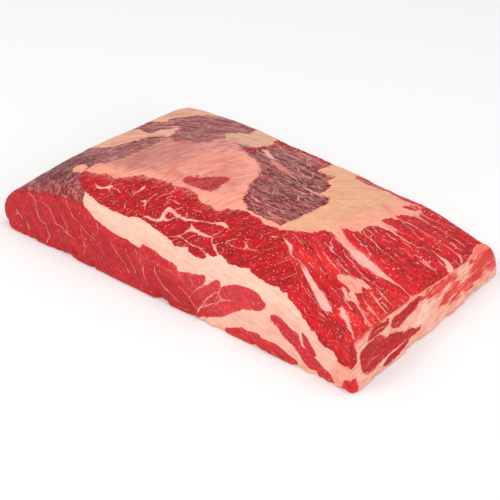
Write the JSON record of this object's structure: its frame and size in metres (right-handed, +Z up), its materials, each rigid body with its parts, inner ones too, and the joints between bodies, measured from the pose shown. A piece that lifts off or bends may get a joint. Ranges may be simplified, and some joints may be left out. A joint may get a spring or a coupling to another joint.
{
  "type": "raw beef brisket",
  "caption": "Slab of raw brisket cut to show a lean flat muscle, a seam of fat and a point muscle above it, with sheets of fat on top.",
  "frame": {"origin": "centre of the resting face, at the bottom centre of the box round the slab", "axes": "+X along the length, towards the thin end where the streaked lean lies; +Z up; the long cut face looks along -Y"},
  "size_m": [0.324, 0.176, 0.063],
  "materials": {
    "flat_lean": "moist cut lean",
    "seam_fat": "soft satin fat",
    "point_lean": "moist cut lean",
    "membrane": "thin satin skin over fat",
    "cap_fat": "smooth satin fat"
  },
  "bodies": {
    "root": {"flat_muscle": "flat_lean", "seam_fat": "seam_fat", "point_muscle": "point_lean", "membrane_fat": "membrane", "cap_fat": "cap_fat"}
  },
  "joints": []
}
